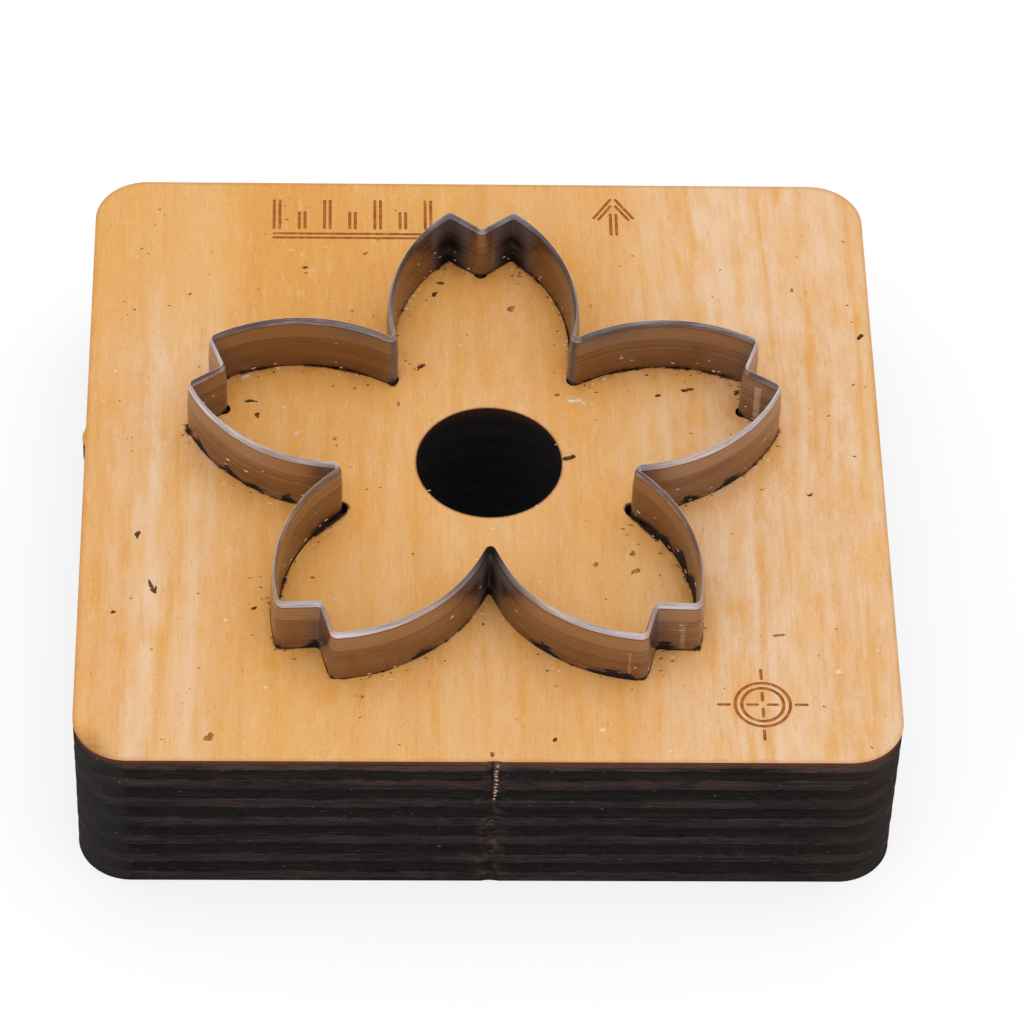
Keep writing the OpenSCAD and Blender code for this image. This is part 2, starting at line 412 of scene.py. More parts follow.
def face_wood():
    """Oiled veneer with its grain along Y, scorched beside the kerf, the hole and the cut edges, with painted
    shade and reflected colour beside the rule.
    """
    tree = new_material("face_wood")
    where = tree.place()
    x, y, z = tree.split(where)
    sway = tree.noise(where, (0.02, 0.02, 0.02), detail=1.0)
    x_swayed = tree.add(x, tree.around(sway, 2.0))
    along = tree.join(x_swayed, y, z)
    broad = tree.noise(along, (0.20, 0.012, 0.1), detail=2.0)
    streak = tree.noise(along, (0.75, 0.035, 0.3), detail=3.0, rough=0.55)
    blotch = tree.noise(along, (0.75, 0.20, 0.3), detail=4.0, rough=0.62)
    fibre = tree.noise(along, (4.0, 0.22, 1.0), detail=3.0, rough=0.6)
    grain = tree.noise(where, (4.5, 3.0, 3.0), detail=3.0, rough=0.65)
    colour = tree.tones(broad, (0.30, 225, 158, 74), (0.50, 230, 169, 90), (0.70, 232, 177, 106))
    zones = [(place, grey(level)) for place, level in PALE_ZONES]
    zone = tree.ramp(tree.math("DIVIDE", tree.add(x_swayed, HALF_W), 2 * HALF_W), *zones)
    # On the left the pale streaks end short of the back edge
    reach = tree.larger(tree.step(y, 26.0, 8.0, 0.2, 1.0), tree.step(x, -8.0, 8.0))
    lean = tree.add(tree.around(streak, 2.2), tree.around(blotch, 3.2), 1.0)
    pale = tree.math("MULTIPLY", tree.times(zone, reach), lean, clamp=True)
    colour = tree.mix(pale, colour, srgb(237, 200, 165))
    colour = tree.tint(colour, (222, 154, 68), streak, 0.44, 0.30, 0.36)
    colour = tree.tint(colour, (204, 140, 72), fibre, 0.52, 0.74, 0.22)
    colour = tree.tint(colour, (240, 206, 166), fibre, 0.46, 0.28, 0.18)
    colour = tree.tint(colour, (200, 138, 76), grain, 0.52, 0.72, 0.20)
    colour = tree.tint(colour, (242, 206, 164), grain, 0.48, 0.28, 0.22)
    pore = tree.noise(along, (6.5, 0.9, 2.0), detail=2.0)
    pores = tree.step(pore, 0.69, 0.74, 0.0, 0.35)
    colour = tree.mix(pores, colour, srgb(172, 108, 54))
    fleck = tree.noise(where, (1.7, 2.3, 1.0), detail=4.0, rough=0.65)
    colour = tree.tint(colour, (134, 84, 42), fleck, 0.70, 0.77, 0.50)
    colour = tree.tint(colour, (246, 222, 192), fleck, 0.29, 0.23, 0.60)
    # Oil and scorch round the rule, with painted shade and a painted orange reflection of the rule near its
    # walls
    far, outside = from_rule(tree, x, y)
    ragged = tree.noise(where, (0.45, 0.30, 0.5), detail=5.0, rough=0.65)
    oil_scorch_and_shade = tree.add(far, tree.around(ragged, 5.0), tree.times(outside, 1.5))
    colour = tree.tint(colour, (232, 163, 76), oil_scorch_and_shade, 6.0, 0.3, 0.56)
    mottle = tree.noise(where, (1.0, 0.30, 0.5), detail=5.0, rough=0.70)
    oily = tree.times(tree.step(far, 9.0, 1.0), tree.step(mottle, 0.50, 0.66, 0.0, 0.40))
    colour = tree.mix(oily, colour, srgb(226, 148, 52))
    colour = tree.tint(colour, (240, 200, 152), mottle, 0.46, 0.32, 0.28)
    colour = tree.tint(colour, (184, 114, 46), oil_scorch_and_shade, 1.4, 0.2, 0.30)
    # Charred lips of the kerf, which come and go along it
    fine = tree.noise(where, (2.6, 2.6, 2.6), detail=5.0, rough=0.68)
    spared = tree.step(tree.noise(where, (0.32, 0.32, 0.32), detail=2.0), 0.60, 0.42, 0.0, 0.26)
    lip = tree.add(far, tree.around(fine, 0.7), spared, tree.times(outside, 0.10))
    for burn in BURNS:
        past = from_streak(tree, tree.join(x, y, 0.0), *burn)
        lip = tree.smaller(lip, tree.add(past, tree.around(fine, 0.30), 0.45))
    colour = tree.tint(colour, (108, 60, 26), lip, 0.75, 0.42, 0.75)
    colour = tree.tint(colour, (30, 19, 13), lip, 0.56, 0.42, 0.95)
    # Scorch at the hole's rim and along the cut edges
    rim = tree.minus(tree.measure("DISTANCE", tree.join(x, y, 0.0), (*HOLE_C, 0.0)), HOLE_R)
    rim = tree.add(rim, tree.around(fine, 0.25))
    colour = tree.tint(colour, (112, 62, 28), rim, 0.28, 0.02, 0.70)
    edge = tree.add(from_edge(tree, x, y), tree.around(ragged, 0.9))
    colour = tree.tint(colour, (176, 108, 48), edge, 0.50, 0.0, 0.35)
    corner = tree.measure("DISTANCE", tree.join(x, y, 0.0), (-HALF_W, -HALF_D, 0.0))
    corner = tree.add(corner, tree.around(fine, 2.4))
    colour = tree.tint(colour, (120, 74, 40), corner, 4.6, 1.6, 0.6)
    height = tree.add(tree.times(fibre, 0.5), grain, tree.times(pores, -0.8))
    rough = tree.step(streak, 0.3, 0.7, 0.46, 0.60)
    normal = tree.bump(height, 0.045)
    return tree.set(Base_Color=colour, Roughness=rough, Specular_IOR_Level=0.15, Normal=normal)


def charred_edge():
    """Laser-cut plywood edge: plies cut along their grain stay dark brown, those cut across it go black."""
    tree = new_material("charred_edge")
    where = tree.place()
    x, y, z = tree.split(where)
    normal_x, normal_y, _ = tree.split(tree.new("NewGeometry").outputs["Normal"])
    wander = tree.noise(where, (0.10, 0.10, 0.25), detail=3.0)
    ragged = tree.noise(where, (0.9, 0.9, 1.2), detail=4.0, rough=0.65)
    shift = tree.add(tree.around(wander, 0.9), tree.around(ragged, 0.8))
    depth = tree.minus(BOARD_T, tree.add(z, shift))
    ply = tree.math("DIVIDE", depth, PLY_T)
    odd = tree.math("GREATER_THAN", tree.math("FRACT", tree.times(ply, 0.5)), 0.5)
    across = tree.times(normal_x, normal_x)
    along = tree.times(normal_y, normal_y)
    brown = tree.add(along, tree.times(odd, tree.minus(across, along)))
    within = tree.math("FRACT", ply)
    # Plies cut along their grain: brown near the face and charcoal grey below, fading downwards to a soft end
    brown_tone = tree.tones(within, (0.00, 94, 72, 65), (0.10, 84, 63, 57), (1.00, 64, 49, 46))
    grey_tone = tree.tones(within, (0.00, 70, 63, 62), (0.10, 60, 54, 54), (1.00, 48, 43, 43))
    # Plies cut across it: blackest under the glue line
    black_tone = tree.tones(within, (0.00, 16, 14, 14), (0.35, 20, 18, 18), (1.00, 36, 31, 32))
    black_tone = tree.tint(black_tone, (54, 43, 45), z, BOARD_T - 5.0, BOARD_T - 1.5, 0.40)
    warm = tree.noise(where, (0.12, 0.12, 0.8), detail=3.0)
    warmth = tree.add(tree.step(z, BOARD_T - 7.5, BOARD_T - 2.5, 0.15, 0.90), tree.around(warm, 3.0))
    tone = tree.mix(tree.larger(warmth, 0.0), grey_tone, brown_tone)
    first_ply = tree.step(depth, PLY_T + 0.22, PLY_T)
    tone = tree.mix(tree.times(first_ply, 0.60), tone, srgb(122, 92, 82))
    patch = tree.noise(where, (0.16, 0.16, 0.55), detail=5.0, rough=0.66)
    brown = tree.times(brown, tree.step(within, 1.06, 0.80, 0.15, 1.0))
    brown = tree.larger(brown, tree.times(first_ply, along))
    brown = tree.times(brown, tree.step(patch, 0.36, 0.58, 0.35, 1.0))
    colour = tree.mix(brown, black_tone, tone)
    # Lumps of char along the glue lines, and fibres along the plies
    lump = tree.noise(where, (0.30, 0.30, 1.2), detail=3.0)
    near_line = tree.step(tree.math("ABSOLUTE", tree.minus(within, 0.5)), 0.22, 0.44)
    colour = tree.tint(colour, (16, 14, 15), lump, 0.50, 0.60, 0.70, where=near_line)
    lit = tree.add(tree.times(brown, 0.6), 0.4)
    rows = tree.noise(where, (0.03, 0.03, 3.2), detail=4.0, rough=0.65)
    colour = tree.tint(colour, (18, 16, 17), rows, 0.47, 0.34, 0.70)
    colour = tree.tint(colour, (80, 70, 69), rows, 0.53, 0.66, 0.55, where=lit)
    streak = tree.noise(where, (0.16, 0.16, 5.0), detail=6.0, rough=0.70)
    colour = tree.tint(colour, (17, 15, 16), streak, 0.47, 0.34, 0.70)
    colour = tree.tint(colour, (92, 78, 75), streak, 0.53, 0.68, 0.55, where=lit)
    fibre = tree.noise(where, (0.9, 0.9, 12.0), detail=3.0, rough=0.6)
    colour = tree.tint(colour, (18, 16, 16), fibre, 0.47, 0.34, 0.50)
    colour = tree.tint(colour, (96, 82, 79), fibre, 0.53, 0.68, 0.50, where=lit)
    # Painted light on the front's turning corners: the left one is coloured greyer, and the right one browner
    front = tree.step(y, CORNER_R - HALF_D + 3.0, CORNER_R - HALF_D)
    corner_light = tree.times(front, tree.step(x, SEAM_X + 0.3, SEAM_X - 0.3, 0.0, 0.50))
    colour = tree.mix(corner_light, colour, tree.mix(streak, srgb(36, 34, 36), srgb(66, 62, 62)))
    colour = tree.tint(colour, (86, 64, 56), x, 27.0, 34.0, 0.15, where=front)
    # The face ply's own scorched rim
    colour = tree.tint(colour, (126, 71, 48), z, BOARD_T - 0.80, BOARD_T - 0.10, 0.90)
    speck = tree.noise(where, (1.5, 1.5, 6.0), detail=2.0)
    colour = tree.tint(colour, (186, 176, 166), speck, 0.735, 0.765, 0.8)
    # Where the front tab tore off, pale wood shows on the right of a dark seam and brown blotches beside it
    splinter = tree.noise(where, (0.5, 0.5, 3.5), detail=4.0, rough=0.65)
    at_tear = tree.step(y, -HALF_D + 2.0, -HALF_D + 1.0)
    past = tree.minus(tree.add(x, tree.around(splinter, 0.25)), TEAR_X - 0.10)
    tear_wide = tree.step(z, BOARD_T - 6.2, BOARD_T - 1.0, 0.10, 0.50)
    torn = tree.times(tree.step(past, 0.02, 0.12), tree.step(past, tree.add(tear_wide, 0.20), tear_wide))
    torn = tree.times(torn, at_tear, tree.step(z, BOARD_T - 6.8, BOARD_T - 5.8))
    pale_wood = tree.times(torn, tree.step(splinter, 0.34, 0.56, 0.10, 0.70))
    colour = tree.mix(pale_wood, colour, srgb(120, 92, 74))
    blotch = tree.step(tree.noise(where, (0.8, 0.8, 1.1), detail=4.0, rough=0.6), 0.46, 0.64, 0.0, 0.75)
    beside = tree.step(tree.math("ABSOLUTE", past), 2.0, 0.4)
    colour = tree.mix(tree.times(blotch, beside, at_tear, lit), colour, srgb(124, 92, 80))
    seam = tree.times(tree.band(past, -0.12, 0.02, 0.06), at_tear, tree.step(z, 3.0, BOARD_T, 0.35, 0.9))
    colour = tree.mix(seam, colour, srgb(20, 15, 14))
    # The walls of the hole and the kerf are burnt blacker than the outside, and the hole's rim is brown
    from_axis = tree.measure("DISTANCE", tree.join(x, y, 0.0), (*HOLE_C, 0.0))
    in_hole = tree.step(from_axis, HOLE_R + 1.2, HOLE_R + 0.8)
    in_kerf = tree.minus(tree.step(from_edge(tree, x, y), 0.8, 1.2), in_hole)
    rim = tree.step(z, BOARD_T - 1.3, BOARD_T - 0.2, 0.0, 0.75)
    colour = tree.mix(tree.times(in_kerf, 0.90), colour, srgb(22, 17, 15))
    colour = tree.mix(tree.times(in_hole, 0.85), colour, tree.mix(rim, srgb(34, 31, 32), srgb(78, 44, 32)))
    height = tree.add(rows, streak, fibre, tree.times(speck, 0.5), tree.times(splinter, torn))
    normal = tree.bump(height, 0.16)
    return tree.set(Base_Color=colour, Roughness=0.8, Specular_IOR_Level=0.08, Normal=normal)


def burnt_mark():
    """Brown floor of a laser-engraved line."""
    tree = new_material("burnt_mark")
    where = tree.place()
    tone = tree.noise(where, (1.6, 1.6, 1.6), detail=4.0, rough=0.6)
    colour = tree.tones(tone, (0.30, 150, 86, 40), (0.55, 182, 112, 56), (0.75, 208, 144, 82))
    normal = tree.bump(tone, 0.05)
    return tree.set(Base_Color=colour, Roughness=0.85, Specular_IOR_Level=0.1, Normal=normal)


def rule_steel(scuffs):
    """Brown oiled strip with fine lines along it, a paler bevel, facets with painted reflection, painted
    highlights and shade at the bends, and soot at its base.
    """
    tree = new_material("rule_steel")
    strip = tree.new("Attribute", attribute_name="strip").outputs["Vector"]
    # Per point: painted sheen of the bends, painted shade and soot in their hollows, and soot from the board
    painted_sheen, hollow, soot_here = tree.split(tree.new("Attribute", attribute_name="sheen_shade_and_soot").outputs["Vector"])
    edge_shade = tree.new("Attribute", attribute_name="edge_shade").outputs["Fac"]
    run, high, face = tree.split(strip)
    lines = tree.noise(strip, (0.018, 8.0, 3.0), detail=5.0, rough=0.62)
    smear = tree.noise(strip, (0.09, 0.5, 7.0), detail=4.0, rough=0.6)
    colour = tree.tones(lines, (0.28, 128, 108, 100), (0.50, 153, 133, 126), (0.74, 184, 167, 162))
    colour = tree.tint(colour, (118, 95, 84), smear, 0.48, 0.75, 0.5)
    bevel = tree.step(high, RULE_TOP - PALE_BAND_H - 0.06, RULE_TOP - PALE_BAND_H + 0.06)
    colour = tree.mix(tree.times(bevel, 0.50), colour, srgb(188, 169, 160))
    scratch = tree.noise(strip, (0.10, 18.0, 5.0), detail=2.0)
    colour = tree.tint(colour, (206, 194, 186), scratch, 0.66, 0.76, 0.45)
    colour = tree.tint(colour, (84, 66, 58), scratch, 0.36, 0.26, 0.45)
    under = tree.band(high, RULE_TOP - FACET_H - 0.16, RULE_TOP - FACET_H - 0.03, 0.05)
    colour = tree.mix(tree.times(under, 0.40), colour, srgb(70, 54, 46))
    # Painted highlight: bends are coloured grey on their round side
    sheen_and_rubs = tree.step(painted_sheen, SHINE, 1.0, 0.0, 0.7)
    colour = tree.mix(sheen_and_rubs, colour, srgb(124, 118, 122))
    # Painted shade: the inner faces are darkened
    colour = tree.mix(tree.minus(0.16, tree.times(face, 0.16)), colour, srgb(24, 16, 12))
    # Painted shade and soot in the hollow of the bends, thinner over the bevel, and painted shade on the
    # bevel where the edge is shaded
    thinner = tree.step(high, RULE_TOP - 3.2, RULE_TOP - 1.2, 1.0, 0.70)
    patchy = tree.step(smear, 0.30, 0.55, 0.78, 1.0)
    hollow_shade_and_soot = tree.times(tree.larger(tree.times(hollow, thinner), edge_shade), patchy)
    colour = tree.mix(hollow_shade_and_soot, colour, srgb(30, 22, 18))
    # Pale rub marks across the strip
    for at, half, low, top, side, share in scuffs:
        rub = tree.times(tree.band(run, at - half, at + half, 0.06), tree.band(high, low, top, 0.25))
        same_side = tree.math("COMPARE", face, side, 0.1)
        grain = tree.step(tree.noise(strip, (1.5, 3.0, 1.0), detail=3.0), 0.3, 0.6, 0.4, 1.0)
        mark = tree.times(rub, same_side, grain, share)
        colour = tree.mix(mark, colour, srgb(206, 192, 180))
        sheen_and_rubs = tree.larger(sheen_and_rubs, mark)
    # Soot creeping up from the board
    edge = tree.noise(strip, (0.7, 2.5, 5.0), detail=7.0, rough=0.78)
    above = tree.minus(high, BOARD_T)
    climb = tree.minus(tree.add(tree.around(edge, 3.6), soot_here, -0.05), above)
    soot = tree.step(climb, -0.10, 0.30, 0.0, 0.97)
    # A soft darkening that climbs higher over the thickest of it
    thick = tree.larger(tree.minus(soot_here, 1.25), 0.0)
    soft_darkening = tree.step(tree.minus(tree.times(thick, 2.2), above), 0.0, 1.6, 0.0, 0.70)
    soot = tree.larger(soot, tree.times(soft_darkening, patchy))
    colour = tree.mix(soot, colour, srgb(30, 22, 18))
    # Soot together with the painted shade of the bends
    soot_and_shade = tree.larger(soot, hollow_shade_and_soot)
    # Facets: painted reflection, coloured bright on the outside and with painted glints at some bends, and
    # painted slate-grey shade on the rest of the inside
    facet = tree.step(high, RULE_TOP - FACET_H - 0.02, RULE_TOP - FACET_H + 0.02)
    ground = tree.noise(strip, (0.13, 2.0, 3.0), detail=7.0, rough=0.72)
    facet_shade = tree.tones(ground, (0.36, 102, 95, 100), (0.50, 146, 138, 144), (0.64, 202, 198, 202))
    facet_light = tree.tones(ground, (0.36, 158, 148, 150), (0.50, 190, 181, 184), (0.64, 226, 224, 229))
    shining = tree.larger(face, tree.step(painted_sheen, 0.0, SHINE, 0.0, 0.8))
    facet_light = tree.mix(shining, facet_shade, facet_light)
    # Painted shade darkens the facets where the edge is shaded
    facet_light = tree.mix(tree.times(edge_shade, patchy), facet_light, srgb(36, 28, 24))
    colour = tree.mix(facet, colour, facet_light)
    rough = tree.add(tree.step(lines, 0.3, 0.7, 0.22, 0.34), tree.times(soot_and_shade, 0.35), tree.times(facet, 0.14))
    metal = tree.minus(1.0, tree.larger(soot_and_shade, tree.times(sheen_and_rubs, 0.6)))
    height = tree.add(lines, tree.times(soot, 0.5))
    normal = tree.bump(height, 0.012, 0.2)
    tree.set(Base_Color=colour, Metallic=metal, Roughness=rough)
    return tree.set(Specular_IOR_Level=0.1, Normal=normal)


def crumb(name, dark, light):
    """Dust and crumbs: a mottled tone between two colours."""
    tree = new_material(name)
    tone = tree.noise(tree.place(), (2.5, 2.5, 2.5), detail=3.0)
    colour = tree.ramp(tone, (0.35, dark), (0.65, light))
    return tree.set(Base_Color=colour, Roughness=0.9, Specular_IOR_Level=0.1)


# Meshes
class Builder:
    """Collects points and faces of one mesh, in millimetres, with a material for each face."""

    def __init__(self):
        self.points = []
        self.faces = []
        self.material_of = []

    def add(self, points):
        first = len(self.points)
        self.points += [Vector(p) for p in points]
        return list(range(first, len(self.points)))

    def face(self, corners, material=0):
        self.faces.append(corners)
        self.material_of.append(material)

    def wall(self, rows, material=0, closed=True):
        """Quads between rows of corners that run the same way round."""
        for upper, lower in zip(rows, rows[1:]):
            count = len(upper)
            for i in range(count if closed else count - 1):
                j = (i + 1) % count
                self.face([upper[i], lower[i], lower[j], upper[j]], material)

    def piece(self, name, materials, slot, replaces=None, sharp=35.0):
        """Makes the object, which rides on the one body."""
        mesh = bpy.data.meshes.new(name)
        mesh.from_pydata([p * MM for p in self.points], [], self.faces)
        for material in materials:
            mesh.materials.append(material)
        mesh.polygons.foreach_set("material_index", self.material_of)
        mesh.polygons.foreach_set("use_smooth", [True] * len(self.faces))
        mesh.set_sharp_from_angle(angle=math.radians(sharp))
        piece = bpy.data.objects.new(name, mesh)
        bpy.context.scene.collection.objects.link(piece)
        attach(piece, "root")
        if replaces:
            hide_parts(replaces)
        return piece


def encloses(outline, point):
    inside = False
    for a, b in zip(outline, outline[1:] + outline[:1]):
        if (a.y > point.y) != (b.y > point.y):
            if point.x < (b.x - a.x) * (point.y - a.y) / (b.y - a.y) + a.x:
                inside = not inside
    return inside


def flat_face(builder, loops, z, up, material):
    """Fills the plane between closed loops of corners, over a loose grid of points."""
    outlines = [[builder.points[c].xy for c in loop] for loop in loops]
    rims = [p for outline in outlines for p in outline]
    span_x = int((HALF_W - 2) / FACE_STEP)
    span_y = int((HALF_D - 2) / FACE_STEP)
    spread = []
    for i in range(-span_x, span_x + 1):
        for j in range(-span_y, span_y + 1):
            spot = Vector((FACE_STEP * i, FACE_STEP * j))
            if min((p - spot).length_squared for p in rims) > 0.2:
                spread.append(spot)
    names = [c for loop in loops for c in loop] + builder.add([(*p, z) for p in spread])
    edges = []
    first = 0
    for loop in loops:
        count = len(loop)
        edges += [(first + i, first + (i + 1) % count) for i in range(count)]
        first += count
    places, _, triangles, origins, _, _ = delaunay_2d_cdt(rims + spread, edges, [], 0, 1e-6)
    for triangle in triangles:
        middle = sum((places[i] for i in triangle), Vector((0, 0))) / 3
        if sum(encloses(outline, middle) for outline in outlines) % 2 == 1:
            corners = [names[origins[i][0]] for i in triangle]
            builder.face(corners if up else corners[::-1], material)


def outline_stations(step):
    """The board's outline, counter-clockwise: place and outward normal."""
    corners = [(1, 1, 0), (-1, 1, 90), (-1, -1, 180), (1, -1, 270)]
    stations = []
    for (side_x, side_y, start), (next_x, next_y, _) in zip(corners, corners[1:] + corners[:1]):
        middle = Vector((side_x * (HALF_W - CORNER_R), side_y * (HALF_D - CORNER_R)))
        next_middle = Vector((next_x * (HALF_W - CORNER_R), next_y * (HALF_D - CORNER_R)))
        out = ray(start + 90)
        stations += arc_stations(middle, CORNER_R, start, start + 90, 1, step)
        stations += line_stations(middle + CORNER_R * out, next_middle + CORNER_R * out, out, step)
    return [(place, out) for place, out, _, _ in stations]


def tab_offset(place, out):
    """How far a broken tab moves the outline outwards."""
    if out.x < -0.9:
        away = abs(place.y - STUB_Y)
        if away < STUB_R:
            return max(0.0, STUB_PROUD - STUB_R + math.sqrt(STUB_R**2 - away**2))
    if out.y < -0.9:
        away = abs(place.x - TEAR_X)
        if away < TEAR_R:
            return -max(0.0, TEAR_DEEP - TEAR_R + math.sqrt(TEAR_R**2 - away**2))
    return 0.0


def ply_levels():
    """Heights of a cut wall's rows, from the top down: some in each ply, and two close to each glue line."""
    levels = [BOARD_T, BOARD_T - CHAMFER]
    for k in range(PLIES):
        top = BOARD_T - k * PLY_T
        if k:
            levels += [top + GLUE_STEP, top - GLUE_STEP]
        levels += [top - share * PLY_T for share in (0.25, 0.5, 0.75)]
    levels += [CHAMFER, 0.0]
    return levels


def wall_inset(place, out, z):
    """How far a cut wall lies inside its outline: plies cut across the grain burn back, and fibres tear."""
    if z > BOARD_T - 0.01 or z < 0.01:
        return CHAMFER
    k = min(PLIES - 1, int((BOARD_T - z) / PLY_T))
    inset = BURN_BACK * (out.y * out.y if k % 2 else out.x * out.x)
    spot = Vector((place.x * 0.35, place.y * 0.35, z * 2.4))
    inset += 0.03 * (1 + noise.noise(spot))
    inset += 0.02 * (1 + noise.noise(spot * 4.0))
    if out.y < -0.5:
        for at, deep, width in FRONT_SEAMS:
            inset += deep * math.exp(-(((place.x - at) / width) ** 2))
    return inset * min(1.0, 0.3 + (BOARD_T - z) / PLY_T)


def drawn_in(p, places):
    """A point of the kerf's rim, with the bulge of most reliefs drawn in towards the strip."""
    nearest = min(places, key=lambda place: (place - p).length_squared)
    away = (p - nearest).length
    if away < KERF_HALF + 0.06 or min((p - spot).length for spot in OPEN_RELIEFS) < 2.0:
        return p
    return nearest + (p - nearest) * ((KERF_HALF + RELIEF_SHARE * (away - KERF_HALF)) / away)


def kerf_loops():
    """The kerf's outlines on the board's face, as the solid has them but for its reliefs."""
    places = [place for place, _, _, _ in strip_stations()]
    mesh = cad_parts["die_board"].data
    corner_of = [tuple(round(c / MM, 4) for c in vertex.co) for vertex in mesh.vertices]
    uses = set()
    for polygon in mesh.polygons:
        corners = [corner_of[i] for i in polygon.vertices]
        if all(c[2] > BOARD_T - 0.001 for c in corners):
            uses.update(zip(corners, corners[1:] + corners[:1]))
    rim = {a: b for a, b in sorted(uses) if (b, a) not in uses}
    loops = []
    while rim:
        start, here = rim.popitem()
        loop = [start]
        while here != start:
            loop.append(here)
            here = rim.pop(here)
        reach = max(Vector(c[:2]).length for c in loop)
        if HOLE_R + 1 < reach < HALF_D:
            loops.append([drawn_in(settled(Vector(c[:2])), places) for c in loop])
    return loops


# Engraved marks
def bar(start, end):
    """Outline of one engraved stroke with round ends."""
    way = end - start
    turn = heading(way)
    outline = []
    for middle, first in ((end, turn - 90), (start, turn + 90)):
        outline += [middle + MARK_W / 2 * ray(first + 30 * i) for i in range(7)]
    return outline


def ring(middle, radius, count=40):
    return [middle + radius * ray(360 * i / count) for i in range(count)]


def mark_strokes():
    """Generic setting-out marks: a row of ticks, an arrow and a target."""
    strokes = []
    left, bottom = -20.0, 28.6
    for i in range(7):
        x = left + 2.45 * i
        high = bottom + (5.0 if i % 2 == 0 else 3.4)
        for dx in (0, MARK_PAIR):
            strokes.append(bar(Vector((x + dx, bottom + 1.3)), Vector((x + dx, high))))
    for y in (bottom, bottom + MARK_PAIR):
        strokes.append(bar(Vector((left, y)), Vector((left + 15.2, y))))
    tip = Vector((13.05, 34.0))
    for dx in (-MARK_PAIR / 2, MARK_PAIR / 2):
        strokes.append(bar(tip + Vector((dx, -4.7)), tip + Vector((dx, -2.0))))
    for side in (-1, 1):
        strokes.append(bar(tip + Vector((0.25 * side, 0)), tip + Vector((1.9 * side, -2.5))))
        strokes.append(bar(tip + Vector((0.25 * side, -0.9)), tip + Vector((1.45 * side, -2.7))))
    for k in range(4):
        strokes.append(bar(TARGET + 0.5 * ray(90 * k), TARGET + 1.35 * ray(90 * k)))
        strokes.append(bar(TARGET + 3.0 * ray(90 * k), TARGET + 4.0 * ray(90 * k)))
    return strokes


def shrunk(outline, amount):
    """An outline moved inwards by an amount, for the sloping wall of a pocket."""
    moved = []
    for before, here, after in zip(outline[-1:] + outline, outline, outline[1:] + outline[:1]):
        way = (after - before).normalized()
        moved.append(here + amount * Vector((-way.y, way.x)))
    return moved


def engrave(builder):
    """Sinks the marks into the board's face, and gives back the loops that they leave there."""
    loops = []
    floor_z = BOARD_T - MARK_DEEP
    slope = MARK_W * 0.28
    for outline in mark_strokes():
        rim = builder.add([(*p, BOARD_T) for p in outline])
        floor = builder.add([(*p, floor_z) for p in shrunk(outline, slope)])
        builder.wall([rim, floor], BURNT)
        builder.face(floor, BURNT)
        loops.append(rim)
    for radius in (1.9, 2.5):
        outer = ring(TARGET, radius + MARK_W / 2)
        inner = ring(TARGET, radius - MARK_W / 2)
        outer_rim = builder.add([(*p, BOARD_T) for p in outer])
        outer_floor = builder.add([(*p, floor_z) for p in shrunk(outer, slope)])
        inner_floor = builder.add([(*p, floor_z) for p in shrunk(inner, -slope)])
        inner_rim = builder.add([(*p, BOARD_T) for p in inner])
        builder.wall([outer_rim, outer_floor, inner_floor, inner_rim], BURNT)
        loops += [outer_rim, inner_rim]
    return loops


FACE, CHAR, BURNT = 0, 1, 2
WALL_STEP = 0.4
FACE_STEP = 2.4
GLUE_STEP = 0.02
BURN_BACK = 0.05
CHAMFER = 0.02
SEAM_X = -32.6
FRONT_SEAMS = ((SEAM_X, 0.05, 0.25), (TEAR_X - 0.05, 0.06, 0.30))
# Share of a relief that shows beside the strip, and the two bends where all of it does
KERF_HALF = RULE_T / 2 + 0.03
RELIEF_SHARE = 0.45
OPEN_RELIEFS = (Vector((-13.4, -6.2)), Vector((13.7, -6.1)))
MARK_W, MARK_DEEP, MARK_PAIR = 0.30, 0.10, 0.55
TARGET = Vector((24.7, -29.3))


def build_board():
    """The plywood board: charred plies round its edge and hole, a kerf, and engraved marks."""
    builder = Builder()
    levels = ply_levels()
    outer = [(place, out, tab_offset(place, out)) for place, out in outline_stations(WALL_STEP)]
    count = math.ceil(2 * math.pi * HOLE_R / WALL_STEP)
    hole = [(HOLE_C + HOLE_R * ray(-360 * i / count), -ray(-360 * i / count), 0.0) for i in range(count)]
    top_loops = []
    bottom_loops = []
    for stations in (outer, hole):
        rows = []
        for z in levels:
            row = [place + out * (tab - wall_inset(place, out, z)) for place, out, tab in stations]
            rows.append(builder.add([(*p, z) for p in row]))
        builder.wall(rows, CHAR)
        top_loops.append(rows[0])
        bottom_loops.append(rows[-1])
    for outline in kerf_loops():
        upper = builder.add([(*p, BOARD_T) for p in outline])
        lower = builder.add([(*p, 0.0) for p in outline])
        builder.wall([upper, lower], CHAR)
        top_loops.append(upper)
        bottom_loops.append(lower)
    top_loops += engrave(builder)
    flat_face(builder, top_loops, BOARD_T, True, FACE)
    flat_face(builder, bottom_loops, 0.0, False, FACE)
    builder.piece("board", [face_wood(), charred_edge(), burnt_mark()], "plywood", replaces="die_board")


# Rule. Rub marks: place, half width, lowest and highest point, outer (1) or inner (0) side, and strength
RUBS = (
    (Vector((25.45, 4.71)), 0.34, 18.2, 22.4, 0, 0.85),
    (Vector((17.64, -22.86)), 0.20, 17.9, 21.3, 1, 0.50),
    (Vector((12.94, -25.14)), 0.09, 18.2, 21.4, 1, 0.50),
    (Vector((1.49, 23.86)), 0.08, 18.6, 22.6, 0, 0.40),
    (Vector((0.03, -16.1)), 0.06, 18.4, 20.4, 1, 0.60),
)
# Bends whose hollow is filled with painted shade and soot, bends with the strongest painted grey sheen, and
# where the inner facet gets a painted glint
FRONT_BEND = Vector((0.2, -16.1))
SHADED_SOOTY_BENDS = (Vector((-3.0, 25.6)), Vector((3.0, 25.6)), FRONT_BEND)
SHEEN_BENDS = (Vector((-8.6, 10.0)), Vector((8.6, 10.0)))
SHINING = Vector((-10.0, 11.0))
